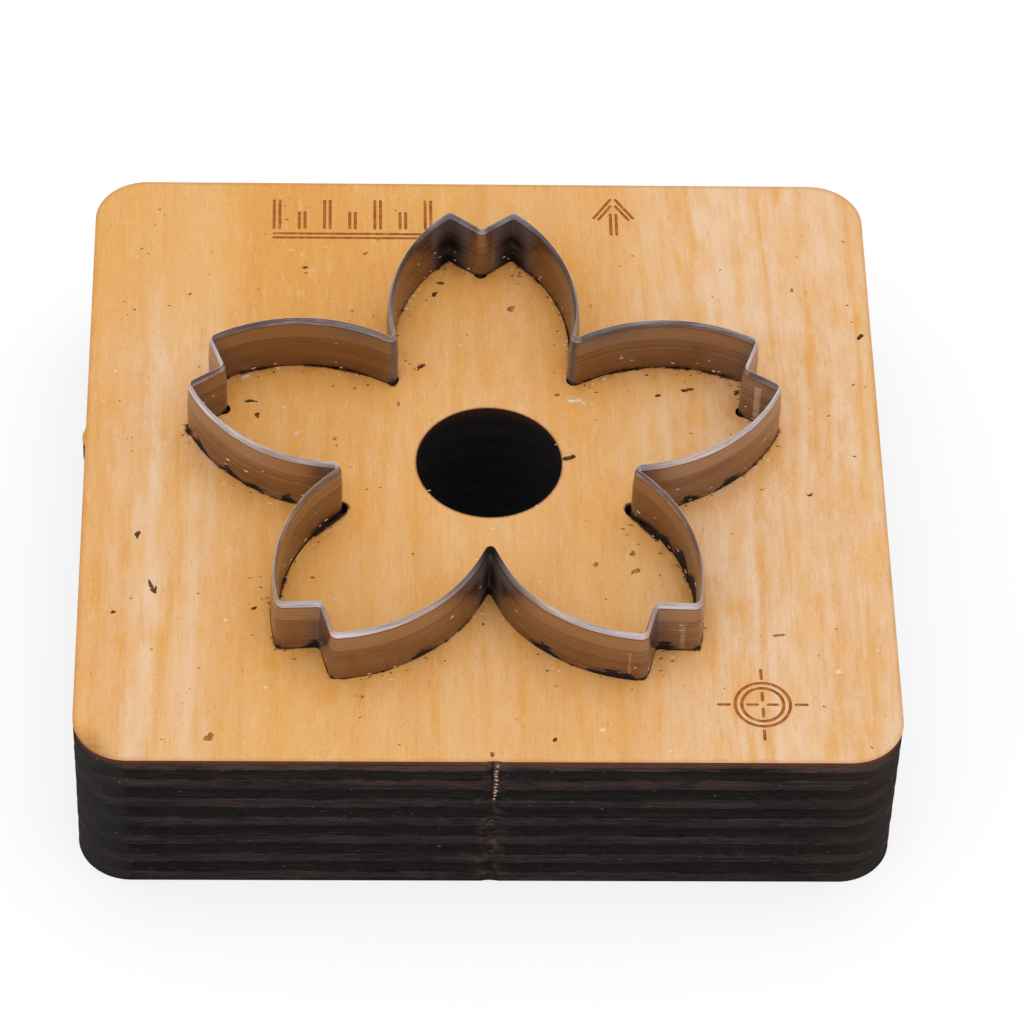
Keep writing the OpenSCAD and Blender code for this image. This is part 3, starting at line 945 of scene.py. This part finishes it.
# Where the cutting edge is darkened with painted shade: place, reach and share
SHADED_EDGES = (
    (FRONT_BEND, 4.0, 1.0), (Vector((-11.0, 13.8)), 3.5, 0.65), (Vector((11.0, 13.8)), 3.5, 0.65),
)
# Level of painted sheen at which the facets get a painted glint, and above which the faces turn grey
SHINE = 0.35
# Thick soot: place, half length along the strip, and how far it climbs; on the outside it climbs less
OUTER_CLIMB = 1.2
SOOT = (
    (Vector((11.45, -25.3)), 2.4, 1.2), (Vector((6.6, -21.5)), 1.6, 1.2), (Vector((19.1, -5.1)), 1.0, 1.2),
    (Vector((22.9, -3.0)), 1.5, 1.2), (Vector((-15.6, -22.6)), 1.0, 1.2), (Vector((-23.7, -2.1)), 1.6, 1.2),
    (Vector((-18.1, -5.1)), 0.9, 1.2), (Vector((-26.1, 1.6)), 1.4, 1.2), (Vector((16.0, -22.4)), 1.2, 1.2),
    (Vector((-5.5, -24.3)), 1.3, 1.2), (Vector((0.0, -17.0)), 1.2, 1.2), (Vector((-21.5, -3.6)), 1.5, 1.0),
    (Vector((16.5, -10.8)), 1.4, 1.4), (Vector((17.8, -13.4)), 1.8, 2.4), (Vector((18.8, -16.8)), 2.4, 2.9),
)


def bend_middles(stations, runs):
    """Each bend's middle along the strip, and the bend. The strip's two ends are in the middle of one."""
    bends = []
    before = 0
    for (_, _, bend, _), run in zip(stations, runs):
        if bend and bend == before:
            bends[-1][0].append(run)
        elif bend:
            bends.append(([run], bend))
        before = bend
    middles = [(sum(group) / len(group), bend) for group, bend in bends]
    middles[0] = (runs[0], middles[0][1])
    middles[-1] = (runs[-1], middles[-1][1])
    return middles


def build_rule():
    """The bent strip: flat faces, long bevels, steep facets, notches over the bridges and butted ends."""
    stations = strip_stations()
    runs = [0.0]
    for (here, _, _, _), (after, _, _, _) in zip(stations, stations[1:]):
        runs.append(runs[-1] + (after - here).length)
    middles = bend_middles(stations, runs)

    def run_at(spot):
        return min(zip(stations, runs), key=lambda pair: (pair[0][0] - spot).length)[1]

    bridge_z = BOARD_T + BRIDGE_GAP
    shoulder = RULE_TOP - BEVEL_H
    half = RULE_T / 2
    outer = [(half, 0.0), (half, bridge_z)]
    outer += [(half, bridge_z + (shoulder - bridge_z) * i / 4) for i in range(1, 5)]
    outer += [(FACET_T / 2, RULE_TOP - FACET_H), (EDGE_FLAT / 2, RULE_TOP)]
    section = outer + [(-side, z) for side, z in reversed(outer)]
    creases = {j for j, (_, z) in enumerate(section) if z >= shoulder - 0.001}
    sooty = [(run_at(spot), length, climb) for spot, length, climb in SOOT]
    bends = [(run, bend) for (_, _, bend, _), run in zip(stations, runs) if bend]
    points, strip, sheen_shade_and_soot, edge_shade = [], [], [], []
    last = len(stations) - 1
    for i, ((place, out, _, _), run) in enumerate(zip(stations, runs)):
        if i in (0, last):
            place = place + Vector((-out.y, out.x)) * (BUTT_GAP / 2 if i == 0 else -BUTT_GAP / 2)
        soot = max(climb * math.exp(-(((run - at) / length) ** 2)) for at, length, climb in sooty)
        # How far the nearest bend that is hollow on the outside is, and on the inside, and its middle
        to_bend = [min(abs(run - at) for at, bend in bends if bend == way) for way in (1, -1)]
        to_middle = [min(abs(run - at) for at, bend in middles if bend == way) for way in (1, -1)]
        full = max(math.exp(-(((place - spot).length / 3.5) ** 4)) for spot in SHADED_SOOTY_BENDS)
        # Painted shade on the bevel and facets near the shaded edges
        edge_shading = max(
            share * math.exp(-(((place - spot).length / reach) ** 2)) for spot, reach, share in SHADED_EDGES
        )
        greyest = max(math.exp(-(((place - spot).length / 2.0) ** 2)) for spot in SHEEN_BENDS)
        # Painted glint of the inner facet near SHINING
        shine = SHINE * math.exp(-(((place - SHINING).length / 3.5) ** 2))
        for side, z in section:
            hollow = to_bend[0 if side > 0 else 1]
            round_middle = to_middle[1 if side > 0 else 0]
            # Painted shade and soot on the hollow side of each bend, broadest at the shaded bends
            hollow_shade_and_soot = 0.25 * math.exp(-((hollow / 1.2) ** 2))
            hollow_shade_and_soot = max(hollow_shade_and_soot, full * math.exp(-((hollow / 2.2) ** 4)))
            edge_shade.append(edge_shading if z > shoulder + 0.001 else 0.0)
            # Painted highlight: grey sheen on the round side of each bend, strongest at the sheen bends
            sheen_and_rubs = (0.6 + 0.4 * greyest) * math.exp(-((round_middle / 0.4) ** 2))
            sheen_shade_and_soot += (max(sheen_and_rubs, shine), hollow_shade_and_soot, min(soot, OUTER_CLIMB) if side > 0 else soot)
            lean = 0.04 * noise.noise(Vector((run * 0.12, 3.0, 0.0))) * max(0.0, z - BOARD_T) / 6
            nick = 0.0
            if z > RULE_TOP - 0.01:
                nick = 0.06 * max(0.0, noise.noise(Vector((run * 1.3, 9.0, 0.0))) - 0.15)
            p = place + out * (side + lean)
            points.append((p.x, p.y, z - nick))
            strip += (run, z, 1.0 if side > 0 else 0.0)
    builder = Builder()
    builder.add(points)
    count = len(section)
    for i in range(last):
        a, b = i * count, (i + 1) * count
        bridged = stations[i][3]
        was_bridged = i > 0 and stations[i - 1][3]
        for j in range(count - 1):
            if not (bridged and j in (0, count - 2)):
                builder.face([a + j, b + j, b + j + 1, a + j + 1])
        low = 1 if bridged else 0
        builder.face([a + low, a + count - 1 - low, b + count - 1 - low, b + low])
        if bridged != was_bridged:
            cap = [a, a + 1, a + count - 2, a + count - 1]
            builder.face(cap if bridged else cap[::-1])
    builder.face(list(range(count)))
    builder.face([last * count + j for j in range(count)][::-1])
    scuffs = [(run_at(spot), *rest) for spot, *rest in RUBS]
    piece = builder.piece("rule", [rule_steel(scuffs)], "rule_steel", replaces="steel_rule", sharp=25.0)
    mesh = piece.data
    for edge in mesh.edges:
        a, b = edge.vertices
        if a % count == b % count and a % count in creases:
            edge.use_edge_sharp = True
    mesh.attributes.new("strip", "FLOAT_VECTOR", "POINT").data.foreach_set("vector", strip)
    mesh.attributes.new("sheen_shade_and_soot", "FLOAT_VECTOR", "POINT").data.foreach_set("vector", sheen_shade_and_soot)
    mesh.attributes.new("edge_shade", "FLOAT", "POINT").data.foreach_set("value", edge_shade)


# Dust and crumbs
def chip(builder, place, long_way, up, length, width, height, rng):
    """A small irregular chip that lies on a surface, with its length along long_way."""
    across = up.cross(long_way).normalized()
    ring_points = []
    for i in range(7):
        angle = 2 * math.pi * (i + rng.uniform(-0.25, 0.25)) / 7
        reach = rng.uniform(0.7, 1.1)
        x = math.cos(angle) * length / 2 * reach
        y = math.sin(angle) * width / 2 * reach
        ring_points.append(place + long_way * x + across * y)
    crown = []
    for p in ring_points:
        inward = (place - p) * rng.uniform(0.3, 0.6)
        crown.append(p + inward + up * height * rng.uniform(0.6, 1.0))
    base = builder.add(ring_points)
    top = builder.add(crown)
    builder.wall([top, base])
    builder.face(top)
    builder.face(base[::-1])


def speck(builder, place, way, length, width, height, rng):
    """A speck on the face: one larger chip with some smaller ones against it."""
    across = Vector((-way.y, way.x))
    middle = place.to_3d() + UP * BOARD_T
    chip(builder, middle, way.to_3d(), UP, length, width, height, rng)
    for _ in range(3):
        shift = way * rng.uniform(-0.5, 0.5) * length + across * rng.uniform(-0.5, 0.5) * width
        turned = (way + across * rng.uniform(-0.6, 0.6)).normalized()
        size = rng.uniform(0.3, 0.6)
        spot = middle + shift.to_3d()
        chip(builder, spot, turned.to_3d(), UP, length * size, width * size, height * 0.7, rng)


UP = Vector((0, 0, 1))
FRONT = Vector((0, -1, 0))
SEED = 11
TEAR_FIBRES = 12
# Specks on the face: place, length, width and heading
DARK_SPECKS = (
    (-32.1, -9.4, 0.9, 0.5, 70), (-30.7, -15.6, 1.7, 0.42, 110), (-34.1, -18.8, 0.55, 0.4, 20),
    (-21.3, -18.3, 0.75, 0.35, 25), (5.9, -33.4, 0.55, 0.4, 80), (30.4, -4.2, 0.5, 0.35, 30),
    (36.3, 16.0, 1.0, 0.5, 40), (10.3, 13.8, 0.6, 0.45, 30), (-5.8, 11.8, 1.1, 0.5, 35),
    (19.3, 8.9, 1.1, 0.5, 30), (16.6, 8.2, 0.6, 0.35, 10), (-22.0, 7.2, 1.2, 0.4, 5),
    (-21.3, 5.5, 0.65, 0.5, 60), (-4.5, 21.1, 0.8, 0.45, 40), (-3.8, 22.6, 0.75, 0.35, 0),
    (24.1, 8.6, 0.6, 0.5, 60), (-16.9, 24.6, 0.5, 0.3, 15),
)
BROWN_SPECKS = (
    (0.2, -35.2, 0.7, 0.45, 75),
    (2.8, 19.3, 1.0, 0.6, 50), (-25.2, -33.4, 1.1, 0.8, 30), (13.8, -13.6, 1.0, 0.6, 20),
    (10.1, -12.8, 0.8, 0.5, 70), (26.5, -21.2, 1.3, 0.35, 5), (-11.2, 26.5, 0.5, 0.35, 0),
    (13.5, -11.5, 0.7, 0.5, 15), (7.0, 8.2, 0.6, 0.4, 0), (-8.0, 7.0, 0.5, 0.3, 80),
    (-14.0, 2.5, 0.5, 0.35, 30), (30.0, 22.0, 0.5, 0.3, 60), (-28.0, 21.0, 0.5, 0.3, 45),
)
PALE_SPECKS = (
    (8.8, 7.5, 1.5, 0.55, 5), (8.3, 7.9, 0.9, 0.25, 12), (9.5, 7.2, 0.7, 0.3, -20),
    (10.1, -32.3, 0.8, 0.45, 30), (31.9, -25.4, 0.9, 0.5, 20), (6.75, 1.9, 0.22, 0.15, 60),
    (-5.2, -3.9, 0.35, 0.15, 20), (4.8, -5.7, 0.28, 0.15, 0), (-22.5, 10.3, 1.2, 0.45, 35),
    (-17.5, 3.2, 0.9, 0.35, 40), (-20.0, -27.5, 0.6, 0.3, 10), (20.0, 27.0, 0.7, 0.3, 50),
)


def build_dust():
    """Fibres, char crumbs and wood chips, thickest along the rule, and the splinter at the hole."""
    rng = random.Random(SEED)
    pale, dark, brown = Builder(), Builder(), Builder()
    kinds = ((dark, DARK_SPECKS, 0.12), (brown, BROWN_SPECKS, 0.08), (pale, PALE_SPECKS, 0.08))
    for builder, specks, high in kinds:
        for x, y, length, width, turn in specks:
            speck(builder, Vector((x, y)), ray(turn), length, width, high, rng)
    stations = strip_stations()
    straights = [station for station in stations if not station[2]]
    beside_rule = ((pale, 190, 0.22, 1.0), (dark, 110, 0.17, 1.6), (brown, 150, 0.24, 2.4))
    for builder, count, size, reach in beside_rule:
        for _ in range(count):
            place, out, _, _ = rng.choice(straights)
            side = rng.choice((-1, 1))
            away = RULE_T / 2 + 0.20 + reach * rng.random() ** 2
            spot = place + out * side * away
            if (spot - HOLE_C).length < HOLE_R + 0.5 or min((p[0] - spot).length for p in stations) < 0.5:
                continue
            length = size * rng.uniform(0.6, 2.2)
            way = ray(rng.gauss(0, 30)).to_3d()
            width = length * rng.uniform(0.3, 0.7)
            chip(builder, spot.to_3d() + UP * BOARD_T, way, UP, length, width, 0.07, rng)
    # Flecks that cling to the rule's faces
    for builder, count, size in ((pale, 150, 0.28), (dark, 60, 0.18)):
        for _ in range(count):
            place, out, _, _ = rng.choice(straights)
            side = rng.choice((-1, 1))
            z = BOARD_T + 0.15 + 3.4 * rng.random() ** 1.7
            spot = (place + out * side * RULE_T / 2).to_3d() + UP * z
            way = Vector((-out.y, out.x, rng.uniform(-0.3, 0.3))).normalized()
            length = size * rng.uniform(0.5, 2.0)
            chip(builder, spot, way, (out * side).to_3d(), length, length * rng.uniform(0.2, 0.5), 0.05, rng)
    # A thin scatter over the whole face, mostly across the grain
    for builder, count, size in ((pale, 110, 0.26), (dark, 30, 0.15), (brown, 90, 0.24)):
        for _ in range(count):
            spot = Vector((rng.uniform(-HALF_W + 1, HALF_W - 1), rng.uniform(-HALF_D + 1, HALF_D - 1)))
            if (spot - HOLE_C).length < HOLE_R + 0.4 or min((p[0] - spot).length for p in stations) < 0.8:
                continue
            length = size * rng.uniform(0.5, 2.0)
            way = ray(rng.gauss(0, 25)).to_3d()
            width = length * rng.uniform(0.3, 0.6)
            chip(builder, spot.to_3d() + UP * BOARD_T, way, UP, length, width, 0.06, rng)
    # Splinter at the hole's right rim
    chip(dark, Vector((7.9, 0.18, BOARD_T)), ray(17).to_3d(), UP, 1.5, 0.5, 0.28, rng)
    chip(dark, Vector((8.3, 0.36, BOARD_T)), ray(28).to_3d(), UP, 0.6, 0.35, 0.35, rng)
    # Short fibres, one under the other, where the front tab tore off
    for i in range(TEAR_FIBRES):
        down = i / TEAR_FIBRES
        length = (0.62 - 0.36 * down) * rng.uniform(0.45, 1.2)
        x = TEAR_X + length / 2 + rng.uniform(-0.02, 0.10) * (1.3 - down)
        spot = Vector((x, -HALF_D + TEAR_DEEP + 0.06, BOARD_T - 0.3 - 5.6 * down - rng.uniform(0.0, 0.3)))
        way = Vector((1, 0, rng.uniform(-0.3, 0.3))).normalized()
        chip(pale, spot, way, FRONT, length, rng.uniform(0.10, 0.24), 0.10, rng)
    pale.piece("fibres", [crumb("pale_fibre", srgb(218, 184, 146), srgb(242, 218, 190))], "plywood")
    dark.piece("crumbs", [crumb("dark_crumb", srgb(66, 43, 30), srgb(118, 80, 52))], "plywood")
    brown.piece("chips", [crumb("brown_chip", srgb(138, 90, 50), srgb(186, 130, 78))], "plywood")


# Stage
def build_camera():
    azimuth = math.radians(CAMERA_AZIMUTH)
    elevation = math.radians(CAMERA_ELEVATION)
    level = math.cos(elevation)
    back = Vector((math.sin(azimuth) * level, -math.cos(azimuth) * level, math.sin(elevation)))
    right = UP.cross(back).normalized()
    up = back.cross(right)
    roll = math.radians(CAMERA_ROLL)
    tilted_right = math.cos(roll) * right + math.sin(roll) * up
    tilted_up = math.cos(roll) * up - math.sin(roll) * right
    data = bpy.data.cameras.new("camera")
    data.sensor_width = CAMERA_SENSOR
    data.lens = CAMERA_LENS
    camera = bpy.data.objects.new("camera", data)
    bpy.context.scene.collection.objects.link(camera)
    turn = Matrix((tilted_right, tilted_up, back)).transposed().to_4x4()
    camera.matrix_world = Matrix.Translation((CAMERA_TARGET + back * CAMERA_DISTANCE) * MM) @ turn
    bpy.context.scene.camera = camera


# Sizes in metres, light levels in the renderer's own units
FLOOR_HALF = 3.0
FLOOR_TONE, FLOOR_TONE_SEEN = 0.55, 0.30
FLOOR_GLOW = 0.73
SKY = 0.74
LAMP_SIZE = 0.9
LAMPS = (("key", (0.12, 0.20, 1.03), 3.0), ("fill", (-0.4, -0.6, 0.85), 1.1))


def build_stage():
    """A pale floor, a white surround and two soft lamps."""
    corners = [(x * FLOOR_HALF, y * FLOOR_HALF, 0.0) for x, y in ((-1, -1), (1, -1), (1, 1), (-1, 1))]
    mesh = bpy.data.meshes.new("floor")
    mesh.from_pydata(corners, [], [[0, 1, 2, 3]])
    tree = new_material("floor")
    seen = tree.seen()
    tone = tree.mix(seen, grey(FLOOR_TONE), grey(FLOOR_TONE_SEEN))
    tree.set(Base_Color=tone, Roughness=0.9, Emission_Color=grey(1.0))
    tree.set(Emission_Strength=tree.times(seen, FLOOR_GLOW), Specular_IOR_Level=0.0)
    mesh.materials.append(tree.owner)
    floor = bpy.data.objects.new("floor", mesh)
    bpy.context.scene.collection.objects.link(floor)
    sky = Tree(bpy.data.worlds.new("studio"), "Background")
    sky.set(Color=grey(1.0), Strength=sky.add(sky.times(sky.seen(), 1 - SKY), SKY))
    bpy.context.scene.world = sky.owner
    for name, place, power in LAMPS:
        lamp = bpy.data.lights.new(name, "AREA")
        lamp.size = LAMP_SIZE
        lamp.energy = power
        light = bpy.data.objects.new(name, lamp)
        light.location = place
        light.rotation_euler = (-Vector(place)).to_track_quat("-Z", "Y").to_euler()
        bpy.context.scene.collection.objects.link(light)
    bpy.context.scene.view_settings.view_transform = "Standard"


build_camera()
build_stage()
build_board()
build_rule()
build_dust()
